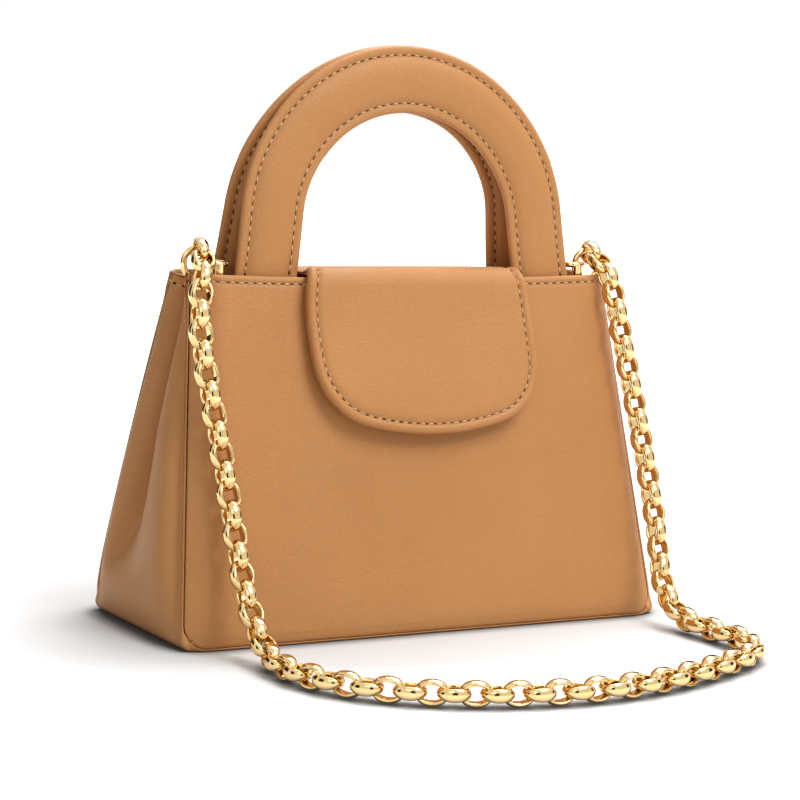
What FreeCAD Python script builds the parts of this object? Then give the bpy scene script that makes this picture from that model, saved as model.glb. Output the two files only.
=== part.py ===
import FreeCAD
import Part
import math
import os

# A small top-handle bag with a short flap and a chain strap.
# Millimetres, +Z up, front towards -Y. The origin is the middle of the base, on the surface it stands on.

# Body
base_width = 240.0
base_depth = 97.4
base_corner = 6.0            # radius of the base in plan
rim_height = 153.0
rim_depth = 34.0             # outside to outside, where the rim runs straight
rim_end_depth = 19.0         # outside to outside, at the gussets
base_straight = 222.0        # width over which a wall is straight, at the base
rim_turn = 8.0               # from the end of the rim's straight part to its outer end
leather = 2.2
lining = 0.8
lining_drop = 4.0            # lining's edge below the rim
board = 2.0                  # stiffener in the base
board_clearance = 1.0        # between the stiffener and the walls
gusset_drop = 5.0            # gusset's edge below the rim
fold_depth = 24.0            # how far the gusset's crease is drawn in at its top
# Height of each gusset section, and how much of the fold has formed there
fold_level_shares = (
    (0.15, 0.0), (0.23, 0.12), (0.31, 0.3), (0.45, 0.4), (0.66, 0.41), (0.81, 0.57), (0.9, 0.8),
)

# Handles
handle_width = 29.4          # of the band, edge to edge
handle_radius = 67.7         # of the arch, at the middle of the band
handle_thickness = 6.6       # over the padding
handle_edge = 3.2            # over the sewn edges
handle_seam = 4.2            # from the band's edge to its stitch line
handle_skin = 1.4            # leather over the padding
handle_offset = 10.6         # of each handle's foot from the bag's middle plane
handle_gap = 0.3             # left of the middle plane, where the two handles meet at the top
handle_lean = 9.0            # degrees that each leg leans inward
arch_height = 17.8           # centre of the arch above the rim
hinge_height = 2.0           # bending line of the handles above the rim
tab_length = 32.0            # handle end sewn inside the wall
tab_width = 22.0
tab_thickness = 4.0
tab_corner = 6.0
hinge_clearance = 0.4

# Flap
flap_thickness = 3.0         # of its two layers
flap_gap = 2.4               # between the flap and the wall
neck_gap = 3.85              # from the flap's neck to a handle's leg
flap_flare = 4.5             # widening of each side below the neck
flap_length = 71.0           # from the fold line down
flap_rise = 3.2              # fold line above the rim, along the wall
fold_clearance = 0.3
anchor_length = 26.0         # flap's end sewn on the back wall
anchor_corner = 8.0
# Half outline of the flap from its neck down: shares of the added width, and of the length
flap_flank_shares = ((0.68, 0.22), (1.0, 0.48))
flap_corner_shares = ((1.0, 0.58), (0.84, 0.82), (0.5, 0.965))
magnet_radius = 8.0
magnet_thickness = 1.0
magnet_drop = 52.0           # below the rim, along the wall

# Chain studs and rings
stud_gap = 5.75              # from a handle's leg to the middle of the eye
stud_margin = 2.0            # straight rim beside the stud's plate
stud_y = -5.0                # middle of the eye
post_radius = 2.0
post_length = 12.0           # below the rim
eye_height = 4.4             # above the rim
eye_radius = 4.8             # to the middle of its wire
eye_wire = 1.2               # wire radius
ring_radius = 6.5            # to the middle of its wire
ring_wire = 1.4              # wire radius
ring_clearance = 0.6
plate_width = 8.0
plate_length = 16.0
plate_thickness = 1.4
plate_drop = 4.0             # plate's edge below the rim
rivet_radius = 1.6
rivet_height = 0.8
rivet_spacing = 8.0

# Chain
link_length = 13.6
link_width = 10.6
link_band = 4.2              # width of the band that the link is bent from
link_thickness = 2.0
link_slack = 1.1             # play in each pair of links
link_flat_shares = (0.6, 0.55)   # straight parts of a link's ends and sides
band_shares = ((-1.0, -0.85), (-0.1, -1.0), (1.0, -0.45), (1.0, 0.45), (-0.1, 1.0), (-1.0, 0.85))
chain_off_wall = 6.5         # middle of the chain from the leather
chain_off_floor = 5.4        # middle of the chain above the floor
# Route of the two strands down the front wall: shares of the half base width and of the rim's height,
# and the distance off the wall as a share of the base depth
left_strand_shares = (
    (-0.902, 0.93, 0.0), (-0.903, 0.83, 0.0), (-0.882, 0.71, 0.0), (-0.86, 0.6, 0.0), (-0.843, 0.5, 0.004),
    (-0.832, 0.36, 0.026), (-0.828, 0.23, 0.07),
)
right_strand_shares = (
    (0.928, 0.19, 0.094), (0.95, 0.3, 0.037), (0.948, 0.4, 0.014), (0.935, 0.5, 0.004), (0.907, 0.66, 0.0),
    (0.875, 0.8, 0.0), (0.855, 0.92, 0.0),
)
# Route over the rim, from a ring to its strand: shares of the way sideways, of the way out,
# and of the eye's height
over_rim_shares = ((0.0, 0.34, 2.0), (0.5, 0.74, 0.85))
# Route on the floor: shares of the half base width, of the base depth, and of the chain's height there
floor_run_shares = (
    (-0.827, -0.652, 2.77), (-0.83, -0.76, 0.9), (-0.838, -0.87, 0.1), (-0.853, -0.98, 0.0),
    (-0.858, -1.09, 0.0), (-0.847, -1.21, 0.0), (-0.808, -1.34, 0.0), (-0.735, -1.475, 0.0),
    (-0.61, -1.61, 0.0), (-0.43, -1.73, 0.0), (-0.22, -1.8, 0.0), (0.0, -1.825, 0.0),
    (0.22, -1.795, 0.0), (0.43, -1.72, 0.0), (0.62, -1.625, 0.0), (0.78, -1.535, 0.0),
    (0.88, -1.415, 0.0), (0.915, -1.27, 0.0), (0.905, -1.12, 0.0), (0.895, -0.98, 0.0),
    (0.887, -0.86, 0.15), (0.89, -0.74, 1.2), (0.908, -0.645, 2.9),
)
strand_link_shares = (0.27, 0.74)   # where the chain's three groups part

overrun = 5.0                # of every cut past what it cuts

# Sizes that follow from these: the handles' legs place the studs and the flap's neck,
# and the studs set how long the rim runs straight
lean = math.radians(handle_lean)
leg_length = (arch_height - hinge_height + handle_radius * math.sin(lean)) / math.cos(lean)
leg_x = handle_radius * math.cos(lean) + leg_length * math.sin(lean)
stud_x = leg_x + handle_width / 2 + stud_gap
rim_straight = 2 * (stud_x + plate_width / 2 + stud_margin)
rim_width = rim_straight + 2 * rim_turn
flap_neck_width = 2 * (leg_x - handle_width / 2 - neck_gap)
flap_width = flap_neck_width + 2 * flap_flare

X_AXIS = FreeCAD.Vector(1, 0, 0)
Y_AXIS = FreeCAD.Vector(0, 1, 0)
Z_AXIS = FreeCAD.Vector(0, 0, 1)
ORIGIN = FreeCAD.Vector(0, 0, 0)


def taper(at_base, at_rim, z):
    return at_base + (at_rim - at_base) * z / rim_height


def end_x(z):
    return taper(base_width, rim_width, z) / 2


def straight_x(z):
    return taper(base_straight, rim_straight, z) / 2


def end_y(z):
    return taper(base_depth, rim_end_depth, z) / 2


def wall_y(z):
    return taper(base_depth, rim_depth, z) / 2


# Slope of the front wall, and the place of a shape drawn on it:
# its X is the bag's, its Y runs up the wall from the rim, and its Z points outward
wall_slope = math.atan2((base_depth - rim_depth) / 2, rim_height)
WALL_PLACE = FreeCAD.Placement(
    FreeCAD.Vector(0, -rim_depth / 2, rim_height),
    FreeCAD.Rotation(X_AXIS, 90 - math.degrees(wall_slope)),
)


def on_wall(shape):
    placed = shape.copy()
    placed.Placement = WALL_PLACE.multiply(placed.Placement)
    return placed


def mirrored_back(shape):
    return shape.mirror(ORIGIN, Y_AXIS)


def mirrored_right(shape):
    return shape.mirror(ORIGIN, X_AXIS)


def polygon_wire(points):
    return Part.makePolygon(points + points[:1])


def box_between(low, high):
    size = high.sub(low)
    return Part.makeBox(size.x, size.y, size.z, low)


def prism(outline, height, z):
    face = Part.Face(outline)
    face.translate(FreeCAD.Vector(0, 0, z))
    return face.extrude(FreeCAD.Vector(0, 0, height))


def along_z(edge):
    tangent = edge.tangentAt(edge.FirstParameter)
    return abs(tangent.z) > abs(tangent.x) + abs(tangent.y)


def rounded_plate(half_x, half_y, thickness, z, radius):
    plate = box_between(FreeCAD.Vector(-half_x, -half_y, z), FreeCAD.Vector(half_x, half_y, z + thickness))
    return plate.makeFillet(radius, [e for e in plate.Edges if along_z(e)])


def round_low_corners(plate, radius):
    middle = plate.CenterOfMass.y
    return plate.makeFillet(radius, [e for e in plate.Edges if along_z(e) and e.CenterOfMass.y < middle])


# Walls and base

def wall_section(z, depth_in, thickness):
    half = end_x(z) - leather
    bend = straight_x(z)
    outer = [(-half, -end_y(z)), (-bend, -wall_y(z)), (bend, -wall_y(z)), (half, -end_y(z))]
    points = [FreeCAD.Vector(x, y + depth_in, z) for x, y in outer]
    points += [FreeCAD.Vector(x, y + depth_in + thickness, z) for x, y in reversed(outer)]
    return polygon_wire(points)


def wall(depth_in, thickness, top):
    sections = [wall_section(z, depth_in, thickness) for z in (leather, top)]
    return Part.makeLoft(sections, True, True)


def gusset_section(z, fold_share, depth_in, thickness, with_flange):
    inner_y = end_y(z) - leather - lining
    side = end_x(z)
    outer = [(-side, -inner_y), (-side + fold_depth * fold_share, 0), (-side, inner_y)]
    if with_flange:
        outer = [(-side, -end_y(z))] + outer + [(-side, end_y(z))]
    points = [FreeCAD.Vector(x + depth_in, y, z) for x, y in outer]
    points += [FreeCAD.Vector(x + depth_in + thickness, y, z) for x, y in reversed(outer)]
    return polygon_wire(points)


def left_gusset(depth_in, thickness, with_flange):
    top = rim_height - gusset_drop
    levels = [(leather, 0)] + [(h * rim_height, s) for h, s in fold_level_shares] + [(top, 1)]
    sections = [gusset_section(z, s, depth_in, thickness, with_flange) for z, s in levels]
    return Part.makeLoft(sections, True, True)


def base_inner_plate(thickness, z):
    half_x = end_x(z) - leather - lining - board_clearance
    half_y = wall_y(z + thickness) - leather - lining - board_clearance
    return rounded_plate(half_x, half_y, thickness, z, base_corner)


def body_pieces():
    front = wall(0, leather, rim_height)
    front_lining = wall(leather, lining, rim_height - lining_drop)
    side = left_gusset(0, leather, True)
    side_lining = left_gusset(leather, lining, False)
    return {
        "base_panel": rounded_plate(base_width / 2, base_depth / 2, leather, 0, base_corner),
        "base_board": base_inner_plate(board, leather),
        "base_lining": base_inner_plate(lining, leather + board),
        "front_panel": front,
        "back_panel": mirrored_back(front),
        "left_gusset": side,
        "right_gusset": mirrored_right(side),
        "front_lining": front_lining,
        "back_lining": mirrored_back(front_lining),
        "left_gusset_lining": side_lining,
        "right_gusset_lining": mirrored_right(side_lining),
    }


# Handles, drawn upright with their bending line on the X axis

handle_centre = FreeCAD.Vector(0, 0, arch_height - hinge_height)


def handle_profile(skin_side):
    # Across the band from the arch's centre: a sewn edge, the padding's crown, and the other sewn edge.
    # A side of 0 is the padding, and -1 or 1 is the leather in front of it or behind it.
    half = handle_width / 2
    seam = half - handle_seam
    crown = handle_thickness / 2
    pad = crown - handle_skin

    def at(u, v):
        return FreeCAD.Vector(handle_radius + u, v, 0)

    if skin_side == 0:
        edges = [
            Part.Arc(at(-seam, 0), at(0, -pad), at(seam, 0)).toShape(),
            Part.Arc(at(seam, 0), at(0, pad), at(-seam, 0)).toShape(),
        ]
        return Part.Face(Part.Wire(edges))
    edge = skin_side * handle_edge / 2
    corners = [at(seam, edge), at(half, edge), at(half, 0), at(seam, 0)]
    far_corners = [at(-seam, 0), at(-half, 0), at(-half, edge), at(-seam, edge)]
    edges = [Part.Arc(far_corners[-1], at(0, skin_side * crown), corners[0]).toShape()]
    edges += [Part.makeLine(a, b) for a, b in zip(corners, corners[1:])]
    edges.append(Part.Arc(corners[-1], at(0, skin_side * pad), far_corners[0]).toShape())
    edges += [Part.makeLine(a, b) for a, b in zip(far_corners, far_corners[1:])]
    return Part.Face(Part.Wire(edges))


def handle_sweep(profile):
    profile.translate(handle_centre)
    profile.rotate(handle_centre, Y_AXIS, -handle_lean)
    arch = profile.revolve(handle_centre, FreeCAD.Vector(0, -1, 0), 180 - 2 * handle_lean)
    down = FreeCAD.Vector(math.sin(lean), 0, -math.cos(lean))
    leg = profile.extrude(down * (leg_length + handle_thickness))
    return arch.fuse([leg, mirrored_right(leg)]).removeSplitter()


def handle_foot_limit():
    # What is kept of a handle: all above the bending line, and a round end about it.
    reach = leg_x + handle_width
    above = box_between(
        FreeCAD.Vector(-reach, -reach, 0),
        FreeCAD.Vector(reach, reach, handle_centre.z + handle_radius + handle_width),
    )
    foot = Part.makeCylinder(handle_thickness / 2, 2 * reach, FreeCAD.Vector(-reach, 0, 0), X_AXIS)
    return above.fuse(foot)


def front_handle(skin_side):
    handle = handle_sweep(handle_profile(skin_side)).common(handle_foot_limit())
    top_offset = handle_thickness / 2 + handle_gap
    tilt = math.asin((handle_offset - top_offset) / (handle_centre.z + handle_radius))
    handle.rotate(ORIGIN, X_AXIS, -math.degrees(tilt))
    handle.translate(FreeCAD.Vector(0, -handle_offset, rim_height + hinge_height))
    return handle.Solids[0]


def front_tabs():
    inside = leather + lining
    tilt_rise = tab_width / 2 * math.sin(lean)
    top = hinge_height - handle_thickness / 2 - hinge_clearance - tilt_rise
    tab = box_between(
        FreeCAD.Vector(-tab_width / 2, top - tab_length, -inside - tab_thickness),
        FreeCAD.Vector(tab_width / 2, top, -inside),
    )
    tab = round_low_corners(tab, tab_corner)
    tabs = []
    for side in (-1, 1):
        one = tab.copy()
        one.rotate(ORIGIN, Z_AXIS, side * handle_lean)
        one.translate(FreeCAD.Vector(side * leg_x, 0, 0))
        tabs.append(on_wall(one))
    return Part.makeCompound(tabs)


def handle_pieces():
    pieces = {}
    for name, side in (("face", -1), ("core", 0), ("backing", 1)):
        piece = front_handle(side)
        pieces["front_handle_" + name] = piece
        pieces["back_handle_" + name] = mirrored_back(piece)
    tabs = front_tabs()
    pieces["front_handle_tabs"] = tabs
    pieces["back_handle_tabs"] = mirrored_back(tabs)
    return pieces


# Flap, its bridge between the handles, and its magnetic closure

fold_out = flap_gap + flap_thickness / 2
FOLD_LINE = WALL_PLACE.multVec(FreeCAD.Vector(0, flap_rise, fold_out))


def flap_outline():
    neck = flap_neck_width / 2
    added = flap_width / 2 - neck

    def flank(across, down):
        return FreeCAD.Vector(neck + added * across, flap_rise - flap_length * down, 0)

    def corner(across, down):
        return FreeCAD.Vector(flap_width / 2 * across, flap_rise - flap_length * down, 0)

    top = FreeCAD.Vector(neck, flap_rise, 0)
    bend, low = [flank(*p) for p in flap_flank_shares]
    start, middle, end = [corner(*p) for p in flap_corner_shares]
    half = [
        Part.Arc(top, bend, low).toShape(),
        Part.makeLine(low, start),
        Part.Arc(start, middle, end).toShape(),
    ]
    other = [mirrored_right(e) for e in half]
    lowest = FreeCAD.Vector(0, flap_rise - flap_length, 0)
    bottom = Part.Arc(end, lowest, FreeCAD.Vector(-end.x, end.y, 0)).toShape()
    closing = Part.makeLine(FreeCAD.Vector(-neck, flap_rise, 0), top)
    return Part.Wire(Part.__sortEdges__(half + [bottom] + other + [closing]))


def fold_bead():
    return Part.makeCylinder(
        flap_thickness / 2, flap_neck_width, FreeCAD.Vector(-flap_neck_width / 2, flap_rise, fold_out), X_AXIS
    )


def flap_layer(z):
    return prism(flap_outline(), flap_thickness / 2, z)


def below_bead(shape):
    room = flap_thickness / 2
    cut = box_between(
        FreeCAD.Vector(-flap_width, flap_rise - room, flap_gap - overrun),
        FreeCAD.Vector(flap_width, flap_rise + room + overrun, fold_out),
    )
    return shape.cut(cut)


def bridge_layer(z):
    reach = -FOLD_LINE.y - flap_thickness / 2 - fold_clearance
    half = flap_neck_width / 2
    return box_between(FreeCAD.Vector(-half, -reach, z), FreeCAD.Vector(half, reach, z + flap_thickness / 2))


def flap_anchor():
    half = flap_neck_width / 2
    strip = box_between(
        FreeCAD.Vector(-half, flap_rise - anchor_length, 0),
        FreeCAD.Vector(half, flap_rise - flap_thickness / 2, flap_gap + flap_thickness),
    )
    strip = round_low_corners(strip, anchor_corner)
    neck = box_between(
        FreeCAD.Vector(-half, flap_rise - flap_thickness, flap_gap),
        FreeCAD.Vector(half, flap_rise, flap_gap + flap_thickness),
    )
    return strip.fuse([neck, fold_bead()]).removeSplitter()


def magnet(z):
    return Part.makeCylinder(magnet_radius, magnet_thickness, FreeCAD.Vector(0, -magnet_drop, z), Z_AXIS)


def flap_pieces():
    outer = flap_layer(fold_out).fuse(fold_bead()).removeSplitter()
    return {
        "flap_outer": on_wall(outer),
        "flap_lining": on_wall(below_bead(flap_layer(flap_gap))),
        "flap_magnet": on_wall(magnet(flap_gap - magnet_thickness)),
        "front_magnet": on_wall(magnet(0)),
        "bridge_outer": bridge_layer(FOLD_LINE.z),
        "bridge_lining": bridge_layer(FOLD_LINE.z - flap_thickness / 2),
        "flap_anchor": mirrored_back(on_wall(flap_anchor())),
    }


# Chain studs, their rings and rivets

eye_z = rim_height + eye_height
ring_x = stud_x + eye_radius + ring_radius - ring_wire - eye_wire - ring_clearance
HOOK = FreeCAD.Vector(ring_x, stud_y, eye_z + ring_radius)


def left_stud():
    eye = Part.makeTorus(eye_radius, eye_wire, FreeCAD.Vector(-stud_x, stud_y, eye_z), Z_AXIS)
    post_foot = FreeCAD.Vector(-stud_x, stud_y - eye_radius, rim_height - post_length)
    post = Part.makeCylinder(post_radius, eye_z - post_foot.z, post_foot, Z_AXIS)
    inside = leather + lining
    plate = on_wall(box_between(
        FreeCAD.Vector(-stud_x - plate_width / 2, -plate_drop - plate_length, -inside - plate_thickness),
        FreeCAD.Vector(-stud_x + plate_width / 2, -plate_drop, -inside),
    ))
    web_top = rim_height - plate_drop - plate_thickness
    web_y = -wall_y(web_top) + inside + plate_thickness / 2
    web = box_between(
        FreeCAD.Vector(-stud_x - post_radius / 2, web_y, post_foot.z),
        FreeCAD.Vector(-stud_x + post_radius / 2, post_foot.y, web_top),
    )
    hole = Part.makeCylinder(
        eye_radius - eye_wire, 2 * post_radius, FreeCAD.Vector(-stud_x, stud_y, eye_z - post_radius), Z_AXIS
    )
    return post.cut(hole).fuse([eye, plate, web]).removeSplitter()


def left_rivets():
    rivets = []
    for side in (-1, 1):
        foot = FreeCAD.Vector(
            -stud_x + side * (plate_width / 2 - rivet_radius),
            -plate_drop - (plate_length + rivet_spacing) / 2,
            -leather - lining - plate_thickness,
        )
        head = Part.makeCone(rivet_radius, rivet_radius / 2, rivet_height, foot, Z_AXIS.negative())
        rivets.append(on_wall(head))
    return rivets


def stud_pieces():
    stud = left_stud()
    ring = Part.makeTorus(ring_radius, ring_wire, FreeCAD.Vector(-ring_x, stud_y, eye_z), Y_AXIS)
    rivets = left_rivets()
    return {
        "left_stud": stud,
        "right_stud": mirrored_right(stud),
        "left_ring": ring,
        "right_ring": mirrored_right(ring),
        "stud_rivets": Part.makeCompound(rivets + [mirrored_right(r) for r in rivets]),
    }


# Chain: flat bands bent into links, each hooked in the next and turned a quarter

link_pitch = link_length - 2 * link_thickness - link_slack


def link_path():
    a = (link_length - link_thickness) / 2
    b = (link_width - link_thickness) / 2
    end_share, side_share = link_flat_shares
    quarter = [(a, b * end_share), (a * side_share, b)]
    path = quarter + [(-x, y) for x, y in reversed(quarter)]
    return path + [(-x, -y) for x, y in path]


def one_link():
    # Flat on the XY plane with its length along X. Each corner is mitred along the path's bisector.
    path = link_path()
    count = len(path)
    rings = []
    for i, (x, y) in enumerate(path):
        into = FreeCAD.Vector(x, y, 0) - FreeCAD.Vector(*path[i - 1], 0)
        out = FreeCAD.Vector(*path[(i + 1) % count], 0) - FreeCAD.Vector(x, y, 0)
        into.normalize()
        out.normalize()
        outward = FreeCAD.Vector(into.y + out.y, -into.x - out.x, 0)
        mitre = outward * (1 / (1 + into.dot(out)))
        rings.append([
            FreeCAD.Vector(x, y, 0) + mitre * (r * link_thickness / 2) + Z_AXIS * (v * link_band / 2)
            for r, v in band_shares
        ])
    faces = []
    for here, there in zip(rings, rings[1:] + rings[:1]):
        for j in range(len(here)):
            k = (j + 1) % len(here)
            faces.append(Part.Face(polygon_wire([here[j], here[k], there[k], there[j]])))
    return Part.Solid(Part.Shell(faces))


def strand_points(shares):
    points = []
    for across, up, off in shares:
        z = up * rim_height
        y = -wall_y(z) - chain_off_wall - off * base_depth
        points.append(FreeCAD.Vector(across * base_width / 2, y, z))
    return points


def over_rim(hook, strand_top):
    points = []
    way = strand_top - hook
    for across, out, height in over_rim_shares:
        z = rim_height + eye_height * height
        points.append(FreeCAD.Vector(hook.x + way.x * across, hook.y + way.y * out, z))
    return points


def behind_hook(hook, next_point):
    # The end link's inner end seats on the ring's wire, so its half of the play reaches past the wire.
    seat = link_length / 2 - link_thickness - ring_wire - ring_clearance
    back = hook - next_point
    back.normalize()
    return hook + back * (link_pitch / 2 - seat)


def chain_route():
    left_hook = FreeCAD.Vector(-HOOK.x, HOOK.y, HOOK.z)
    left = strand_points(left_strand_shares)
    right = strand_points(right_strand_shares)
    floor = [
        FreeCAD.Vector(x * base_width / 2, y * base_depth, chain_off_floor * (1 + z))
        for x, y, z in floor_run_shares
    ]
    left_over = over_rim(left_hook, left[0])
    right_over = over_rim(HOOK, right[-1])
    poles = [behind_hook(left_hook, left_over[0])] + left_over + left + floor + right
    poles += list(reversed(right_over)) + [behind_hook(HOOK, right_over[0])]
    curve = Part.BSplineCurve()
    curve.buildFromPoles(poles, False, 3)
    return curve.toShape()


def link_places():
    # Each link lies between two hooks on the route, half of them flat to what is under them.
    route = chain_route()
    pairs = math.ceil((route.Length / link_pitch - 1) / 2)
    count = 2 * pairs + 1
    hooks = route.discretize(Number=count + 1)
    wall_out = WALL_PLACE.Rotation.multVec(Z_AXIS)
    places = []
    for i in range(count):
        along = hooks[i + 1] - hooks[i]
        along.normalize()
        rising = abs(along.z)
        facing = wall_out * rising + Z_AXIS * (1 - rising)
        across = facing.cross(along).normalize()
        normal = along.cross(across)
        turn = FreeCAD.Rotation(along, across, normal, "XYZ")
        if i % 2 == 0:
            turn = turn.multiply(FreeCAD.Rotation(X_AXIS, 90))
        places.append(FreeCAD.Placement((hooks[i] + hooks[i + 1]) / 2, turn))
    print("chain route", round(route.Length, 1), "links", count)
    return places


def chain_pieces():
    link = one_link()
    links = []
    for place in link_places():
        one = link.copy()
        one.Placement = place
        links.append(one)
    first, second = [round(len(links) * s) for s in strand_link_shares]
    return {
        "chain_left_strand": Part.makeCompound(links[:first]),
        "chain_floor_run": Part.makeCompound(links[first:second]),
        "chain_right_strand": Part.makeCompound(links[second:]),
    }


def main():
    os.makedirs("parts", exist_ok=True)
    pieces = {}
    for group in (body_pieces, handle_pieces, flap_pieces, stud_pieces, chain_pieces):
        pieces.update(group())
    for name, shape in pieces.items():
        shape.exportStep("parts/" + name + ".step")
    print("fold line y z", round(FOLD_LINE.y, 3), round(FOLD_LINE.z, 3))
    print("handle hinge y z", -handle_offset, rim_height + hinge_height)
    print("chain hook x y z", round(HOOK.x, 3), round(HOOK.y, 3), round(HOOK.z, 3))


main()
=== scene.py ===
import random
from math import asin, atan2, copysign, cos, exp, pi, radians, sin, sqrt, tan, tau

import bmesh
import bpy
from mathutils import Matrix, Vector


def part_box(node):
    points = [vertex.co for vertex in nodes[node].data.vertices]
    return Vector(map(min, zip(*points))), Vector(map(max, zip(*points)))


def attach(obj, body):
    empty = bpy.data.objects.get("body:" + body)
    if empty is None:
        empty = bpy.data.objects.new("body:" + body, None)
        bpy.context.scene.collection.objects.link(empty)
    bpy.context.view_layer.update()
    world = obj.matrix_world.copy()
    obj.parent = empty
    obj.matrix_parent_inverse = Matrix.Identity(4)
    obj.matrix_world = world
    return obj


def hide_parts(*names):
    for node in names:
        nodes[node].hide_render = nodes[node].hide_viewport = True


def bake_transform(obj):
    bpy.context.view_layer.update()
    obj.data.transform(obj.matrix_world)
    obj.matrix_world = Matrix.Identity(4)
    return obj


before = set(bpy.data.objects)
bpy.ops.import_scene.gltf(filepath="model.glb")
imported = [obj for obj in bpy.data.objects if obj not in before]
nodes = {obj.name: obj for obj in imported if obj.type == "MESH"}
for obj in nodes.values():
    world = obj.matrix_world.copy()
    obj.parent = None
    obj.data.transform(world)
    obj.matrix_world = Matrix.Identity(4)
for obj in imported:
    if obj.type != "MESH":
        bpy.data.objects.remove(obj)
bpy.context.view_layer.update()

rng = random.Random(11)

# Metres, front towards -Y, the base on z = 0
MM = 0.001

# Leather walls
LEATHER = 0.0022
GUSSET_LEATHER = 0.0012
RIM_LEATHER = 0.0019  # the gusset's, turned over along the rim
LIP = 0.0006  # gusset leather turned onto the front, up to the seam
SEAM_GAP = 0.0003
INSET = LIP + SEAM_GAP
PANEL_CORNER = 0.0085
RIM_CORNER = 0.0022
PANEL_STEP = 0.0017
PANEL_SPINE = 0.072  # half the line that a panel's faces close on
STRAIGHT_SHARE = 0.93
PANEL_HANG = 0.0004
PAST_EDGE = 1.2  # the turns at the edges may run on this far
SIDE_ROLL = 0.0046  # how far the panel's side edges turn back
SIDE_ROLL_WIDTH = 0.012
LOW_ROLL = 0.0012
LOW_ROLL_WIDTH = 0.008
# Gusset's fold at some heights: share of the height, depth, how sharply its two halves turn in,
# and how far the crease lies behind the middle, as a share of the half depth
FOLD_LEVELS = (
    (0, 0, 4, 0.6), (0.11, 0, 4, 0.6), (0.17, 0.0026, 4.2, 0.58), (0.23, 0.0075, 4.6, 0.54),
    (0.31, 0.012, 5, 0.48), (0.44, 0.0145, 5.4, 0.36), (0.59, 0.015, 5.4, 0.3), (0.71, 0.0158, 4.8, 0.2),
    (0.82, 0.0168, 3.4, 0.1), (0.915, 0.0195, 2.1, 0.03), (1, 0.024, 1.6, 0),
)
CREASE_SOFT = (0.12, 0.04)  # roundness of the crease at the base and at the rim
PUFF_POWER = 8
# How far the gussets and the back wall swell out: share of the height, gusset, back wall
SWELL_LEVELS = (
    (0, 0, 0), (0.04, 0.0026, 0.0022), (0.09, 0.005, 0.0042), (0.16, 0.0062, 0.0056),
    (0.26, 0.0066, 0.006), (0.4, 0.0062, 0.0056), (0.56, 0.005, 0.0048), (0.7, 0.0032, 0.0036),
    (0.84, 0.001, 0.0018), (0.93, 0, 0.0006), (1, 0, 0),
)
BACK_MIDDLE = 0.35  # share of the back's swell in its middle
BACK_SIDES = (0.55, 0.97)  # it grows between these shares of the half width
GUSSET_DIP = 0.0062  # gusset's edge below the rim, at its crease
BASE_ROUND = 0.0036  # where the gusset turns under the base
RIM_STITCH = 0.0031  # stitch line below the rim
RIM_STITCH_END = 0.0028
RIM_STITCH_HEIGHT = -0.42  # millimetres from the panel's outside
RIM_WAVE = 0.001

# Flap
FLAP_OFF = 0.0037  # its middle from the wall
FOLD_RADIUS = 0.0058
BRIDGE_SAG = 0.0026  # of the leather over the mouth
BRIDGE_DIP = 0.0008  # more between the folds
NECK_HALF = 0.0523  # clear of the handle's legs as the bridge lifts
FLAP_FLANK = (  # half width and place below the rim, down to the rounded corner
    (NECK_HALF, -0.0078), (NECK_HALF, -0.0046), (0.0533, -0.0022), (0.0549, 0.001), (0.0563, 0.012),
    (0.0568, 0.024), (0.0565, 0.036),
)
FLAP_CORNER_MID = (0.0502, 0.0548)
FLAP_CORNER_END = (0.036, 0.0646)
FLAP_END = 0.0694
FLAP_STEP = 0.0016
FLAP_SPINE = ((0, 0), (-0.052, 0.03))
FLAP_SKEW = (-0.001, 0.0035)  # askew at the rim, and more by its end
SKEW_START = (-0.003, 0.004)  # below the rim
SKEW_END = 0.07
FLAP_LOFT = 0.003  # its end stands off the wall
LOFT_RANGE = (0.035, 0.095)
ANCHOR_END = 0.0228
ANCHOR_CORNER = 0.008
FLAP_STITCH = 0.0043
# Thickness as a share of FLAP_EDGE, and where along the strip it changes
FRONT_OVER = 1.85
BRIDGE_OVER = 0.62
BRIDGE_UNDER = 0.55
FULL_RANGE = (0.009, 0.017)
SEWN_RANGE = (0.015, 0.022)
DIP_END = (0.017, 0.024)

# Handles
ARCH_RADIUS = 0.0677
ARCH_RISE = 0.0158  # centre of the arch above the bending line
ARCH_STEP = 0.0019
LEAN = radians(9)
HANDLE_STITCH = 0.0105
# painted shade along the handles' stitch grooves
GROOVE_SHADE = 0.55
GROOVE_HALF = 0.00045
TAB_DEPTH = 0.034
TAB_THICK = 0.55  # share of the thickness left in the tabs
TAB_TRIM = 0.16  # share of the width cut off them
TAB_ROUND = 0.008
LEG_INWARD = 0.0014
LEG_STEP = 0.002
HINGE_Y = 0.0106
HINGE_Z = 0.155
HANDLE_TOP_Y = 0.0036

# Stitches
STITCH_PITCH = 0.0043
STITCH_LENGTH = 0.0019
THREAD = 0.00035
HOLE_LENGTH = 0.00092  # half the slit under each end of a stitch
HOLE_WIDTH = 0.00058

# Chain links
LINK_HALF_LENGTH = 0.0058
LINK_HALF_WIDTH = 0.0043
LINK_POWER = 2.15
LINK_SIDE = (  # half the section: outward, and along the band
    (-1, 1.5), (-0.9, 2.1), (-0.6, 2.5), (-0.18, 2.6), (0.28, 2.36), (0.68, 1.82), (0.97, 1.08),
    (1.1, 0.36),
)
LINK_SECTION = [(-1.04, 0), *LINK_SIDE, *((r, -w) for r, w in reversed(LINK_SIDE))]
LINK_STEPS = 44
LINK_STEP = 0.0006


def clamp(value, low=0, high=1):
    return max(low, min(high, value))


def lerp(a, b, t):
    return a + (b - a) * t


def smooth(value, low, high):
    t = clamp((value - low) / (high - low))
    return t * t * (3 - 2 * t)


def bell(value, middle, width):
    return exp(-((value - middle) / width) ** 2)


def flat_list(rows):
    return [item for row in rows for item in row]


# Sizes of the bag's walls, read from the frame at two heights

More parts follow.
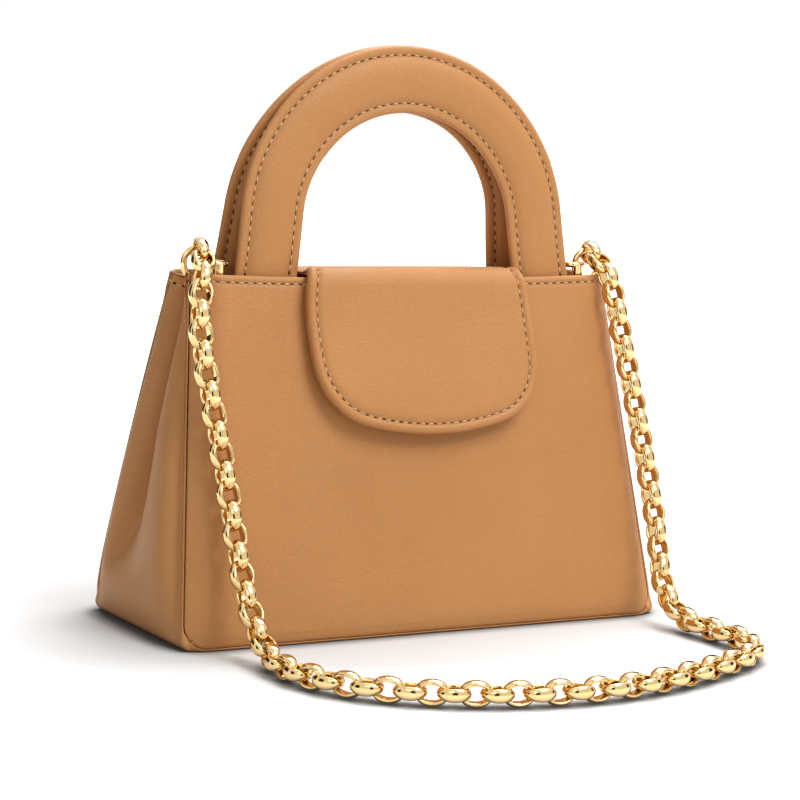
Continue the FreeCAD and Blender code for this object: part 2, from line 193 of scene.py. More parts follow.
def wall_level(z):
    level = [v.co for v in nodes["front_panel"].data.vertices if abs(v.co.z - z) < 1e-5]
    wide = max(c.x for c in level)
    end = max(-c.y for c in level if c.x > wide - 1e-5)
    wall = max(-c.y for c in level)
    straight = max(c.x for c in level if -c.y > wall - 1e-5)
    return wide + LEATHER, straight, end, wall


low_z, rim_z = (corner.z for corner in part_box("front_panel"))
low_sizes = wall_level(low_z)
rim_sizes = wall_level(rim_z)


def sized(index):
    return lambda z: lerp(low_sizes[index], rim_sizes[index], (z - low_z) / (rim_z - low_z))


half_x, straight_x, end_y, wall_y = (sized(index) for index in range(4))
wall_slope = atan2(wall_y(0) - wall_y(rim_z), rim_z)
UP_WALL = Vector((0, sin(wall_slope), cos(wall_slope)))
OUT_WALL = Vector((0, -cos(wall_slope), sin(wall_slope)))


# Mesh tools

def in_scene(name, data):
    obj = bpy.data.objects.new(name, data)
    bpy.context.scene.collection.objects.link(obj)
    return obj


def mesh_object(name, points, faces, material, shades=None):
    mesh = bpy.data.meshes.new(name)
    mesh.from_pydata([tuple(p) for p in points], [], faces)
    if shades:
        attribute = mesh.attributes.new("seam", "FLOAT", "POINT")
        attribute.data.foreach_set("value", shades)
    bm = bmesh.new()
    bm.from_mesh(mesh)
    bmesh.ops.remove_doubles(bm, verts=bm.verts, dist=2e-6)
    bmesh.ops.dissolve_degenerate(bm, edges=bm.edges, dist=1e-7)
    bmesh.ops.recalc_face_normals(bm, faces=bm.faces)
    bm.to_mesh(mesh)
    bm.free()
    mesh.shade_smooth()
    mesh.materials.append(material)
    return in_scene(name, mesh)


def grid_faces(rows, columns, closed_columns=False, closed_rows=False, start=0):
    faces = []
    for i in range(rows if closed_rows else rows - 1):
        for j in range(columns if closed_columns else columns - 1):
            a, b = i, (i + 1) % rows
            c, d = j, (j + 1) % columns
            faces.append(tuple(start + r * columns + k for r, k in ((a, c), (a, d), (b, d), (b, c))))
    return faces


def spread(count):
    # Even shares from -1 to 1
    return [-1 + 2 * k / count for k in range(count + 1)]


def flipped(v, x=1, y=1):
    return Vector((v.x * x, v.y * y, *v[2:]))


def left_of(run):
    return Vector((-run.y, run.x)).normalized()


def run_at(points, k):
    # From the point before to the point after, on an open line
    return points[min(k + 1, len(points) - 1)] - points[max(k - 1, 0)]


def run_lengths(points):
    lengths = [0]
    for a, b in zip(points, points[1:]):
        lengths.append(lengths[-1] + (b - a).length)
    return lengths


def even_places(lengths, count):
    # Number of the segment and share of it, for even places from end to end
    k = 0
    for i in range(count + 1):
        target = lengths[-1] * i / count
        while k < len(lengths) - 2 and lengths[k + 1] < target:
            k += 1
        yield k, (target - lengths[k]) / max(lengths[k + 1] - lengths[k], 1e-9)


def resample(points, spacing, closed=False):
    pts = [Vector(p) for p in points]
    if closed:
        pts.append(pts[0])
    lengths = run_lengths(pts)
    count = max(3, round(lengths[-1] / spacing))
    even = [pts[k].lerp(pts[k + 1], t) for k, t in even_places(lengths, count)]
    return even[:-1] if closed else even


def relaxed(points, rounds):
    for _ in range(rounds):
        points = [
            (points[i - 1] + 2 * p + points[(i + 1) % len(points)]) / 4 for i, p in enumerate(points)
        ]
    return points


def rounded_polygon(corners, steps=10):
    # Corners are (x, y, radius), counter-clockwise
    path = []
    for i, (x, y, radius) in enumerate(corners):
        here = Vector((x, y))
        before = (Vector(corners[i - 1][:2]) - here).normalized()
        after = (Vector(corners[(i + 1) % len(corners)][:2]) - here).normalized()
        half_angle = before.angle(after) / 2
        reach = radius / tan(half_angle)
        centre = here + (before + after).normalized() * (radius / sin(half_angle))
        first, last = here + before * reach - centre, here + after * reach - centre
        for k in range(steps + 1):
            path.append(centre + first.lerp(last, k / steps).normalized() * radius)
    return path


def arc_through(a, b, c, steps):
    a, b, c = Vector(a), Vector(b), Vector(c)
    near, far = b - a, c - a
    centre = a + Vector((
        far.y * near.length_squared - near.y * far.length_squared,
        near.x * far.length_squared - far.x * near.length_squared,
    )) / (2 * near.cross(far))
    first = a - centre
    angle = (c - centre).angle_signed(first)
    return [centre + Matrix.Rotation(angle * k / steps, 2) @ first for k in range(steps + 1)]


def surface_normal(place, a, b):
    e = 2e-5
    return (place(a + e, b) - place(a - e, b)).cross(place(a, b + e) - place(a, b - e)).normalized()


def inward_normals(outline, blur=0):
    # Averaged along the outline, so that rows inside a tight corner don't cross
    count = len(outline)
    normals = [left_of(outline[(i + 1) % count] - outline[i - 1]) for i in range(count)]
    for _ in range(blur):
        normals = [
            (normals[i - 1] + n + normals[(i + 1) % count]).normalized() for i, n in enumerate(normals)
        ]
    return normals


EDGE_BLUR = 28
INNER_STEPS = (1, 0.93, 0.85, 0.77, 0.69, 0.61, 0.53, 0.45, 0.37, 0.29, 0.21, 0.13, 0.06)


def outlined_sheet(name, outline, spine, place, profile, material):
    # A sheet of leather: the profile's rows (distance in, height, painted seam shade) run round the outline,
    # and both faces close on the spine, a line given by its range on each axis
    normals = inward_normals(outline, EDGE_BLUR)
    columns = [profile(p, i) for i, p in enumerate(outline)]
    last = len(columns[0]) - 1
    levels = [(0, step) for step in INNER_STEPS] + [(row, 0) for row in range(last + 1)]
    levels += [(last, step) for step in reversed(INNER_STEPS)]
    points, shades = [], []
    for row, step in levels:
        for p, normal, column in zip(outline, normals, columns):
            depth, height, shade = column[row]
            middle = Vector((clamp(p.x, *spine[0]), clamp(p.y, *spine[1])))
            flat = (p + normal * depth).lerp(middle, step)
            points.append(place(flat.x, flat.y) + surface_normal(place, flat.x, flat.y) * height)
            shades.append(0 if step else shade)
    return mesh_object(name, points, grid_faces(len(levels), len(outline), True), material, shades)


# Materials

class Shader:
    # The nodes of a material or of the world
    def __init__(self, owner):
        self.owner = owner
        owner.use_nodes = True
        self.tree = owner.node_tree
        self.coords = self.node("ShaderNodeTexCoord").outputs["Object"]

    def fill(self, socket, value):
        # Links another node's output to the socket, or sets a constant on it
        if isinstance(value, bpy.types.NodeSocket):
            self.tree.links.new(value, socket)
        else:
            socket.default_value = value

    def fill_named(self, node, sockets):
        for key, value in sockets.items():
            self.fill(node.inputs[key.replace("_", " ")], value)

    def node(self, kind, **sockets):
        made = self.tree.nodes.new(kind)
        self.fill_named(made, sockets)
        return made

    def math(self, operation, first, second):
        made = self.node("ShaderNodeMath")
        made.operation = operation
        self.fill(made.inputs[0], first)
        self.fill(made.inputs[1], second)
        return made.outputs[0]

    def stretched(self, stretch):
        return self.node("ShaderNodeMapping", Scale=stretch, Vector=self.coords).outputs["Vector"]

    def noise(self, scale, detail=3, stretch=None):
        place = self.stretched(stretch) if stretch else self.coords
        return self.node("ShaderNodeTexNoise", Scale=scale, Detail=detail, Vector=place).outputs["Fac"]

    def ranged(self, source, low, high, from_low=0.3, from_high=0.7):
        made = self.node("ShaderNodeMapRange", From_Min=from_low, From_Max=from_high, To_Min=low, To_Max=high)
        self.fill(made.inputs["Value"], source)
        return made.outputs["Result"]

    def mixed(self, factor, first, second):
        made = self.node("ShaderNodeMix")
        made.data_type = "RGBA"
        self.fill(made.inputs["Factor"], factor)
        for socket, value in ((made.inputs[6], first), (made.inputs[7], second)):
            self.fill(socket, (*value, 1) if isinstance(value, tuple) else value)
        return made.outputs[2]

    def bump(self, height, strength, distance, **before):
        made = self.node("ShaderNodeBump", Strength=strength, Distance=distance, Height=height, **before)
        return made.outputs["Normal"]

    def done(self, color, roughness, normal, **values):
        bsdf = self.tree.nodes["Principled BSDF"]
        self.fill_named(bsdf, {"Base Color": color, "Roughness": roughness, "Normal": normal, **values})
        return self.owner

    def background_rays(self):
        # 1 for the rays that show the background
        rays = self.node("ShaderNodeLightPath").outputs
        seen = self.math("MAXIMUM", rays["Is Camera Ray"], rays["Is Glossy Ray"])
        return self.math("MAXIMUM", seen, rays["Is Transmission Ray"])


def new_shader(name):
    return Shader(bpy.data.materials.new(name))


def leather_material():
    s = new_shader("tan leather")
    patches = s.ranged(s.noise(16, 4), 0, 1)
    pores = s.ranged(s.noise(900, 2), 0, 0.22)
    color = s.mixed(patches, (0.56, 0.25, 0.08), (0.61, 0.282, 0.096))
    color = s.mixed(pores, color, (0.46, 0.205, 0.068))
    # Painted shade: the seam attribute darkens the leather in the seam and stitch grooves, broken up by noise
    seam = s.node("ShaderNodeAttribute")
    seam.attribute_name = "seam"
    painted_seam_shade = s.math("MULTIPLY", seam.outputs["Fac"], s.ranged(s.noise(420, 1), 0.35, 1, 0.35, 0.6))
    color = s.mixed(painted_seam_shade, color, (0.17, 0.062, 0.017))
    pebbles = s.node("ShaderNodeTexVoronoi", Scale=1150, Vector=s.coords).outputs["Distance"]
    grain = s.bump(pebbles, 0.42, 0.00024)
    grain = s.bump(s.noise(560, 4, (0.8, 0.8, 1.6)), 0.4, 0.00038, Normal=grain)
    grain = s.bump(s.noise(38, 3), 0.16, 0.0016, Normal=grain)
    roughness = s.ranged(s.noise(60, 4), 0.44, 0.56)
    return s.done(color, roughness, grain, Specular_IOR_Level=0.34)


def simple_material(name, tone, tints, relief, matt, **values):
    # Noise is (scale, detail, stretch). The relief adds strength and distance, and the roughness its range.
    s = new_shader(name)
    relief_noise, strength, distance = relief
    matt_noise, low, high = matt
    color = s.mixed(s.noise(*tone), *tints)
    normal = s.bump(s.noise(*relief_noise), strength, distance)
    return s.done(color, s.ranged(s.noise(*matt_noise), low, high), normal, **values)


WHITE = (1, 1, 1, 1)
CONTACT_REACH = 0.011  # the floor darkens this close to what stands on it
CONTACT_SHADE = (0.1, 1)
CONTACT_RANGE = (0.45, 0.95)
FLOOR_LIFT = (0.1, 0.62)
FLOOR_REACH = (0.145, 0.28)  # it turns white between these distances
FAR_LIFT = (0, 0.8)
FAR_REACH = (0.5, 1.2)


def floor_material():
    s = new_shader("studio floor")
    # Painted contact shadow: ambient occlusion darkens the floor's colour and its white lift close to what
    # stands on it
    around = s.node("ShaderNodeAmbientOcclusion", Distance=CONTACT_REACH)
    painted_contact_shadow = s.ranged(around.outputs["AO"], *CONTACT_SHADE, *CONTACT_RANGE)
    tone = s.mixed(s.noise(3, 3), (0.67, 0.67, 0.67), (0.7, 0.7, 0.7))
    away = s.node("ShaderNodeVectorMath")
    away.operation = "LENGTH"
    s.fill(away.inputs[0], s.stretched((1, 1.5, 1)))
    far = away.outputs["Value"]
    lift = s.math("ADD", s.ranged(far, *FLOOR_LIFT, *FLOOR_REACH), s.ranged(far, *FAR_LIFT, *FAR_REACH))
    lift = s.math("MULTIPLY", lift, painted_contact_shadow)
    lift = s.math("MULTIPLY", s.background_rays(), lift)
    return s.done(
        s.mixed(painted_contact_shadow, (0, 0, 0), tone), s.ranged(s.noise(5), 0.75, 0.85),
        s.bump(s.noise(200), 0.02, 0.0005), Emission_Color=WHITE, Emission_Strength=lift,
    )


LEATHER_MAT = leather_material()
GOLD_MAT = simple_material(
    "pale gold", (120, 3), ((0.76, 0.52, 0.22), (0.82, 0.6, 0.3)),
    ((300, 2, (1, 9, 3)), 0.04, 0.0001), ((240, 3), 0.06, 0.13), Metallic=1,
)
THREAD_MAT = simple_material(
    "waxed thread", (500, 2), ((0.7, 0.43, 0.19), (0.82, 0.57, 0.3)),
    ((2600, 1), 0.25, 0.0001), ((300,), 0.5, 0.7),
)
# Painted shade: near-black domes over the surface stand for the shade inside the stitch holes
HOLE_SHADE_MAT = simple_material(
    "painted hole shade", (700, 2), ((0.035, 0.012, 0.004), (0.07, 0.026, 0.008)),
    ((1500,), 0.2, 0.0001), ((300,), 0.7, 0.9),
)
LINING_MAT = simple_material(
    "brown lining", (40, 4), ((0.16, 0.078, 0.034), (0.22, 0.112, 0.052)),
    ((1400, 1, (1, 1, 0.25)), 0.3, 0.0002), ((90,), 0.7, 0.9),
)
BOARD_MAT = simple_material(
    "fibre board", (300, 4), ((0.3, 0.22, 0.15), (0.4, 0.31, 0.22)),
    ((600,), 0.3, 0.0003), ((90,), 0.8, 0.95),
)
CARD_MAT = simple_material(
    "black card", (30, 3), ((0.012, 0.011, 0.01), (0.02, 0.018, 0.016)),
    ((300,), 0.1, 0.0003), ((60,), 0.85, 0.95),
)


# Front and back panels

def edge_roll(x, z):
    # How far the panel turns back near its sewn edges
    side = clamp(1 - (half_x(z) - INSET - abs(x)) / SIDE_ROLL_WIDTH, 0, PAST_EDGE)
    low = clamp(1 - (z - INSET) / LOW_ROLL_WIDTH, 0, PAST_EDGE)
    return SIDE_ROLL * end_y(z) / end_y(0) * side * side + LOW_ROLL * low * low


def panel_y(x, z):
    straight = STRAIGHT_SHARE * straight_x(z)
    turn = clamp((abs(x) - straight) / (half_x(z) - straight), 0, PAST_EDGE)
    hang = PANEL_HANG * sin(pi * clamp(z / rim_z)) * (1 - (x / half_x(z)) ** 2)
    return wall_y(z) - (wall_y(z) - end_y(z)) * turn * turn + hang - edge_roll(x, z)


def level_at(levels, z):
    # Values at a height, on a smooth line through the levels on each side of it
    share = clamp(z / rim_z)
    k = next(i for i in range(len(levels) - 1) if share <= levels[i + 1][0])
    before, low, high, after = (levels[int(clamp(k + i, 0, len(levels) - 1))] for i in (-1, 0, 1, 2))
    span = high[0] - low[0]
    t = (share - low[0]) / span
    values = []
    for i in range(1, len(low)):
        start = (high[i] - before[i]) / (high[0] - before[0]) * span
        end = (after[i] - low[i]) / (after[0] - low[0]) * span
        bend = (2 * t ** 3 - 3 * t * t + 1) * low[i] + (t ** 3 - 2 * t * t + t) * start
        values.append(bend + (3 * t * t - 2 * t ** 3) * high[i] + (t ** 3 - t * t) * end)
    return values


def back_puff(x, z):
    # The back swells along its sides, less in its middle
    return level_at(SWELL_LEVELS, z)[1] * lerp(BACK_MIDDLE, 1, smooth(abs(x) / half_x(z), *BACK_SIDES))


def rim_wave(x, z):
    # The rim stands a little higher at its ends than beside the flap
    return RIM_WAVE * (2 * (x / half_x(z)) ** 2 - 1) * smooth(z, 0.6 * rim_z, rim_z)


def front_place(x, z):
    return Vector((x, -panel_y(x, z), z + rim_wave(x, z)))


def back_place(x, z):
    return Vector((-x, panel_y(x, z) + back_puff(x, z), z + rim_wave(x, z)))


# Edge of a panel: millimetres in, height in millimetres, painted shade in the seam groove
PANEL_EDGE = (
    (5.4, 0, 0), (4.1, 0, 0), (3.55, -0.06, 0), (3.1, -0.1, 0), (2.65, -0.08, 0),
    (2.1, -0.08, 0), (1.5, -0.1, 0), (0.9, -0.15, 0), (0.45, -0.26, 0), (0.15, -0.46, 0.1),
    (0, -0.8, 0.45), (0, -1.4, 0.8), (0.4, -1.85, 0.8), (1.2, -2.2, 0.5), (5.4, -2.2, 0),
)
FACE_ABOVE = -0.5  # rows higher than this lie on the outer face
RIM_START = 0.006  # the fold along the rim begins and is complete this far below it
RIM_FULL = 0.001
FOLD_RISE = 0.16
GROOVE_DEPTH = 0.34
GROOVE_WAVE = 0.1
GROOVE_WIDTH = 0.55


def panel_profile(p, i):
    # A stitched fold along the rim, and a plain rolled edge elsewhere
    rim = smooth(p.y, rim_z - RIM_START, rim_z - RIM_FULL)
    pull = GROOVE_DEPTH + GROOVE_WAVE * cos(tau * p.x / STITCH_PITCH)
    rows = []
    for depth, height, shade in PANEL_EDGE:
        groove, fold = 0, 0
        if height > FACE_ABOVE:
            groove = bell(depth, RIM_STITCH / MM, GROOVE_WIDTH)
            fold = smooth(depth, 0.4, 1.4) * (1 - smooth(depth, 2.2, 3))
        lift = rim * (FOLD_RISE * fold - pull * groove)
        shadow = lerp(shade, 0.25 * shade + 0.5 * groove, rim)
        rows.append((depth * MM, (height + lift) * MM, shadow))
    return rows


def panel_outline():
    bottom, top = half_x(INSET) - INSET, half_x(rim_z) - INSET * 0.7
    corners = [
        (bottom, INSET, PANEL_CORNER), (top, rim_z, RIM_CORNER), (-top, rim_z, RIM_CORNER),
        (-bottom, INSET, PANEL_CORNER),
    ]
    return resample(rounded_polygon(corners), PANEL_STEP, True)


def make_panel(name, place):
    spine = ((-PANEL_SPINE, PANEL_SPINE), (rim_z / 2, rim_z / 2))
    return outlined_sheet(name, panel_outline(), spine, place, panel_profile, LEATHER_MAT)


# Gussets and base: one strip of leather from rim to rim

def gusset_inset(z, across):
    # From the gusset's side plane in to its surface. Across is -1 at the front and 1 at the back.
    depth, power, crease = level_at(FOLD_LEVELS, z)
    soft = lerp(*CREASE_SOFT, clamp(z / rim_z))
    away = (across - crease) / (1 + crease if across < crease else 1 - crease)
    inward = 1 + soft - sqrt(away * away + soft * soft)
    puff = level_at(SWELL_LEVELS, z)[0] * (1 - across ** PUFF_POWER)
    return depth * clamp(inward) ** power - puff


SIDE_STEPS = 40
ROUND_STEPS = 10
BASE_SHARES = [0.01 * k for k in range(1, 9)] + [k / 12 for k in range(1, 12)]  # denser near the corner


def strip_path():
    # From the left rim, under the base, to the right rim: points and outward normals
    foot = Vector((-half_x(0), 0))
    up = Vector((half_x(0) - half_x(rim_z), rim_z)).normalized()
    outward = Vector((-up.y, up.x))
    reach = BASE_ROUND / tan(up.angle(Vector((1, 0))) / 2)
    start = foot + up * reach
    length = (rim_z - start.y) / up.y
    path = [(start + up * length * (1 - k / SIDE_STEPS), outward) for k in range(SIDE_STEPS)]
    centre = start - outward * BASE_ROUND
    down = Vector((0, -1))
    turn = outward.angle(down)
    for k in range(ROUND_STEPS + 1):
        angle = atan2(outward.y, outward.x) + turn * k / ROUND_STEPS
        normal = Vector((cos(angle), sin(angle)))
        path.append((centre + normal * BASE_ROUND, normal))
    edge = path[-1][0].x
    path += [(Vector((edge * (1 - share), 0)), down) for share in BASE_SHARES]
    other = [(flipped(p, -1), flipped(n, -1)) for p, n in reversed(path)]
    return path + [(Vector((0, 0)), down)] + other


# Strip's section at its front edge: depth behind the seam, distance in from the side, painted seam shade
LIP_SECTION = (
    (3, 5.6, 0.9), (2.5, 2.6, 0.9), (1.5, 1.2, 0.9), (0.8, 0.88, 0.5), (0.36, 0.8, 0.12), (0.14, 0.66, 0),
    (0.1, 0.48, 0), (0.3, 0.24, 0), (0.85, 0.08, 0), (1.8, 0.02, 0), (3.2, 0, 0),
)
LIP_OUTSIDE = (0.1, 0.66)  # the lip turns onto the front between these
LIP_REACH = 4.4
LIP_NARROW = 0.55  # its share where the bag is thinnest
ACROSS = 44


def lip_shrink(z):
    return lerp(LIP_NARROW, 1, clamp(end_y(z) / end_y(0) * 1.5))


def swell_reach(front, z):
    # The gusset swells and folds this far from its middle, between its lips
    return -front - LIP_REACH * MM * lip_shrink(z)


def panel_corner():
    # Middle of the panel's lower left corner
    foot = Vector((INSET - half_x(INSET), INSET))
    top = Vector((LIP - half_x(rim_z), rim_z))
    rise, run = (top - foot).normalized(), Vector((1, 0))
    return foot + (rise + run).normalized() * (PANEL_CORNER / sin(rise.angle(run) / 2))


def corner_lip(point, normal):
    # Extra width of the strip's lip, because the panel's corner is rounder than the base
    away = Vector((-abs(point.x), point.y)) - panel_corner()
    out = Vector((-abs(normal.x), normal.y))
    inside = away.dot(out) ** 2 - away.length_squared + PANEL_CORNER ** 2
    if inside < 0 or away.y > 0 or away.x > 0:
        return 0
    return max(away.dot(out) - sqrt(inside) - INSET, 0)


def strip_section(point, normal):
    z = max(point.y, 0)
    rim = smooth(point.y, 0.8 * rim_z, rim_z)
    extra = corner_lip(point, normal)
    seam = point - normal * (INSET + extra)
    half = end_y(z)
    bulge = back_puff(half_x(z), z)
    front = -half + edge_roll(seam.x, max(seam.y, 0))
    shrink = MM * lip_shrink(z)
    edge = [
        (front + back * shrink, inset * MM + extra * smooth(inset, *LIP_OUTSIDE), shade)
        for back, inset, shade in LIP_SECTION
    ]
    reach = swell_reach(front, z)
    middle = [(reach * share, gusset_inset(z, share) * abs(normal.x), 0) for share in spread(ACROSS)]
    rows = edge + middle + [(-y, inset, shade) for y, inset, shade in reversed(edge)]
    wave = rim_wave(half_x(z), z)
    made = []
    for y, inset, shade in rows:
        flat = point - normal * inset
        lift = wave - GUSSET_DIP * rim * (1 - clamp(abs(y) / half))
        made.append((Vector((flat.x, y + bulge * smooth(y / half, 0, 1), flat.y + lift)), shade))
    return made


def strip_rows():
    return [strip_section(point, normal) for point, normal in strip_path()]


def grid_normals(rows):
    columns = list(zip(*rows))
    return [
        [run_at(row, j).cross(run_at(columns[j], i)).normalized() for j in range(len(row))]
        for i, row in enumerate(rows)
    ]


def strip_thickness(z):
    return lerp(GUSSET_LEATHER, RIM_LEATHER, smooth(z, rim_z - 0.013, rim_z - 0.006))


def make_strip():
    rows = strip_rows()
    columns = len(rows[0])
    normals = grid_normals([[p for p, _ in row] for row in rows])
    sign = -1 if normals[len(rows) // 2][columns // 2].z > 0 else 1
    outer, shades = zip(*flat_list(rows))
    inner = [p - n * (sign * strip_thickness(p.z)) for p, n in zip(outer, flat_list(normals))]
    count = len(outer)
    faces = grid_faces(len(rows), columns) + grid_faces(len(rows), columns, start=count)
    ends = [range(columns), range(count - columns, count)]
    sides = [range(0, count, columns), range(columns - 1, count, columns)]
    for border in ends + sides:
        for a, b in zip(border, border[1:]):
            faces.append((a, b, count + b, count + a))
    obj = mesh_object("gussets_and_base", [*outer, *inner], faces, LEATHER_MAT, shades + shades)
    soften = obj.modifiers.new("rim round", "BEVEL")
    soften.width = 0.0007
    soften.segments = 3
    soften.limit_method = "ANGLE"
    soften.angle_limit = radians(50)
    return obj


# Lining: one soft shell inside the walls

LINING_INSET = 0.0009
LINING_TOP = 0.0075  # below the rim
LINING_CORNER = 0.006
SIDE_TRIM = 0.0025
LINING_FRONT = 48
LINING_ACROSS = 64
LINING_SIDE = 40
LINING_ROWS = 24
FLOOR_RINGS = (0.02, 0.25, 0.5, 0.75)


def offset_open(points, distance):
    # An open line moved to the left of its run
    return [p + left_of(run_at(points, i)) * distance for i, p in enumerate(points)]


def lining_side(z, tuck):
    depth = swell_reach(edge_roll(half_x(z) - INSET, z) - end_y(z), z)
    edge = half_x(z) - tuck
    side = [Vector((edge - gusset_inset(z, share), depth * share)) for share in spread(LINING_ACROSS)]
    return [p for p in offset_open(side, GUSSET_LEATHER + LINING_INSET) if abs(p.y) < depth - SIDE_TRIM]


def lining_loop(z):
    # Counter-clockwise from the front's left end
    under = max(BASE_ROUND - z, 0)
    tuck = BASE_ROUND - sqrt(BASE_ROUND ** 2 - under ** 2)
    reach = half_x(z) - LEATHER - LINING_CORNER - tuck
    xs = [reach * share for share in spread(LINING_FRONT)]
    front = [Vector((x, -panel_y(x, z) + LEATHER + LINING_INSET)) for x in xs]
    side = resample([front[-1]] + lining_side(z, tuck) + [flipped(front[-1], y=-1)], MM)
    side = resample(side, run_lengths(side)[-1] / LINING_SIDE)[1:-1]
    loop = front + side + [flipped(p, y=-1) for p in reversed(front)]
    loop += [flipped(p, -1) for p in reversed(side)]
    return [Vector((p.x, p.y + back_puff(p.x, z) * smooth(p.y / end_y(z), 0, 1), z)) for p in loop]


def make_lining():
    floor_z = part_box("base_lining")[1].z
    levels = [lerp(floor_z, rim_z - LINING_TOP, k / LINING_ROWS) for k in range(LINING_ROWS + 1)]
    sections = [lining_loop(z) for z in levels]
    rings = [[Vector((p.x * share, p.y * share, floor_z)) for p in sections[0]] for share in FLOOR_RINGS]
    rows = rings + sections
    obj = mesh_object("inner_lining", flat_list(rows), grid_faces(len(rows), len(rows[0]), True), LINING_MAT)
    thick = obj.modifiers.new("cloth", "SOLIDIFY")
    thick.thickness = 0.0005
    thick.offset = 0
    return obj


# Board in the base, clear of the strip's rounded ends

BOARD_EDGE = ((4, 1), (0.8, 1), (0.2, 0.7), (0, 0), (0.2, -0.7), (0.8, -1), (4, -1))
BOARD_CORNER = 0.006
BOARD_STEP = 0.003
BOARD_SPINE = ((-0.06, 0.06), (0, 0))


def make_board():
    low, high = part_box("base_board")
    middle, half = 0.5 * (low.z + high.z), 0.5 * (high.z - low.z)
    x, y = high.x - BASE_ROUND, high.y
    corners = [(i * x, j * y, BOARD_CORNER) for i, j in ((1, -1), (1, 1), (-1, 1), (-1, -1))]
    outline = resample(rounded_polygon(corners), BOARD_STEP, True)
    edge = [(depth * MM, height * half, 0) for depth, height in BOARD_EDGE]
    return outlined_sheet(
        "stiffening_board", outline, BOARD_SPINE, lambda a, b: Vector((a, b, middle)), lambda p, i: edge,
        BOARD_MAT,
    )


# Flap: one strip from the front, over the mouth, to its sewn end on the back wall

bridge_z = 0.5 * (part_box("bridge_lining")[0].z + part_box("bridge_outer")[1].z) - BRIDGE_SAG
fold_turn = pi / 2 - wall_slope
rim_off = Vector((0, -wall_y(rim_z), rim_z)) + OUT_WALL * FLAP_OFF
arc_low_z = bridge_z - FOLD_RADIUS * (1 - cos(fold_turn))
arc_low = rim_off + UP_WALL * ((arc_low_z - rim_off.z) / UP_WALL.z)
bridge_half = -(arc_low.y + FOLD_RADIUS * sin(fold_turn))
straight_start = bridge_half + FOLD_RADIUS * fold_turn
below_rim = straight_start - (rim_off - arc_low).length


def flap_place(x, t):
    # t runs from the middle of the bridge, forward below 0 and backward above it
    side = -1 if t < 0 else 1
    far = abs(t)
    if far <= bridge_half:
        y, z = far, bridge_z
    elif far <= straight_start:
        angle = (far - bridge_half) / FOLD_RADIUS
        y = bridge_half + FOLD_RADIUS * sin(angle)
        z = bridge_z - FOLD_RADIUS * (1 - cos(angle))
    else:
        down = far - straight_start
        y = -arc_low.y + down * UP_WALL.y
        z = arc_low.z - down * UP_WALL.z
    if side < 0:
        y += FLAP_LOFT * smooth(far, *LOFT_RANGE)
    z -= BRIDGE_DIP * (1 - smooth(-t, *FULL_RANGE)) * (1 - smooth(t, *DIP_END))
    return Vector((x, side * y, z))


def flap_skew(down):
    start, change = FLAP_SKEW
    return (start + change * smooth(down, 0, SKEW_END)) * smooth(down, *SKEW_START)


def flap_outline():
    def front(half, down):
        return Vector((half + flap_skew(down), -below_rim - down))

    corner = arc_through(FLAP_FLANK[-1], FLAP_CORNER_MID, FLAP_CORNER_END, 16)
    bottom = arc_through((-FLAP_CORNER_END[0], FLAP_CORNER_END[1]), (0, FLAP_END), FLAP_CORNER_END, 24)
    flank = list(FLAP_FLANK) + [tuple(p) for p in corner[1:-1]]
    low = [front(*p) for p in bottom]
    right = [front(*p) for p in reversed(flank)]
    left = [front(-half, down) for half, down in flank]
    back_end = below_rim + ANCHOR_END
    tail = rounded_polygon([
        (NECK_HALF, 0, MM), (NECK_HALF, back_end, ANCHOR_CORNER),
        (-NECK_HALF, back_end, ANCHOR_CORNER), (-NECK_HALF, 0, MM),
    ])
    tail = [p for p in tail if p.y > 2 * MM]
    even = relaxed(resample(low + right + tail + left, FLAP_STEP, True), 6)
    return resample(even, FLAP_STEP, True)


# Edge of the flap, in the way of PANEL_EDGE: its two layers meet in a groove, darkened with painted shade
FLAP_EDGE = (
    (7.6, 1.62, 0), (6.6, 1.58, 0), (5.5, 1.42, 0), (4.8, 1.2, 0.15), (4.3, 1.05, 0.5),
    (3.8, 1.22, 0.15), (3.2, 1.48, 0), (2.4, 1.62, 0), (1.5, 1.58, 0), (0.8, 1.38, 0),
    (0.3, 1.02, 0), (0.06, 0.6, 0.05), (0.2, 0.22, 0.4), (0.55, 0.04, 0.9), (0.3, -0.14, 0.4),
    (0.16, -0.5, 0.1), (0.35, -1, 0.1), (0.9, -1.38, 0.1), (2, -1.5, 0), (7.6, -1.5, 0),
)
FLAP_FACE_ABOVE = 0.9
FLAP_WAVE = 0.09  # the stitches pull the leather down
FLAP_WAVE_AT = 4.6
FLAP_WAVE_WIDTH = 1.1
FLAP_STITCH_HEIGHT = 1.07


def flap_thickness(t):
    # Full in front, thin across the mouth and plain at the sewn end
    full, sewn = smooth(-t, *FULL_RANGE), smooth(t, *SEWN_RANGE)
    thin = 1 - full - sewn
    return FRONT_OVER * full + BRIDGE_OVER * thin + sewn, full + BRIDGE_UNDER * thin + sewn


def flap_profile(p, i):
    wave = FLAP_WAVE * cos(tau * i * FLAP_STEP / STITCH_PITCH)
    over, under = flap_thickness(p.y)
    rows = []
    for depth, height, shade in FLAP_EDGE:
        near = bell(depth, FLAP_WAVE_AT, FLAP_WAVE_WIDTH) if height > FLAP_FACE_ABOVE else 0
        thick = over if height > 0 else under
        rows.append((depth * MM, (height - wave * near) * thick * MM, shade))
    return rows


def half_flap(name, front):
    obj = outlined_sheet(name, flap_outline(), FLAP_SPINE, flap_place, flap_profile, LEATHER_MAT)
    bm = bmesh.new()
    bm.from_mesh(obj.data)
    bmesh.ops.bisect_plane(
        bm, geom=bm.verts[:] + bm.edges[:] + bm.faces[:], dist=1e-7, plane_co=(0, 0, 0),
        plane_no=(0, 1, 0), clear_outer=front, clear_inner=not front,
    )
    bm.to_mesh(obj.data)
    bm.free()
    return obj


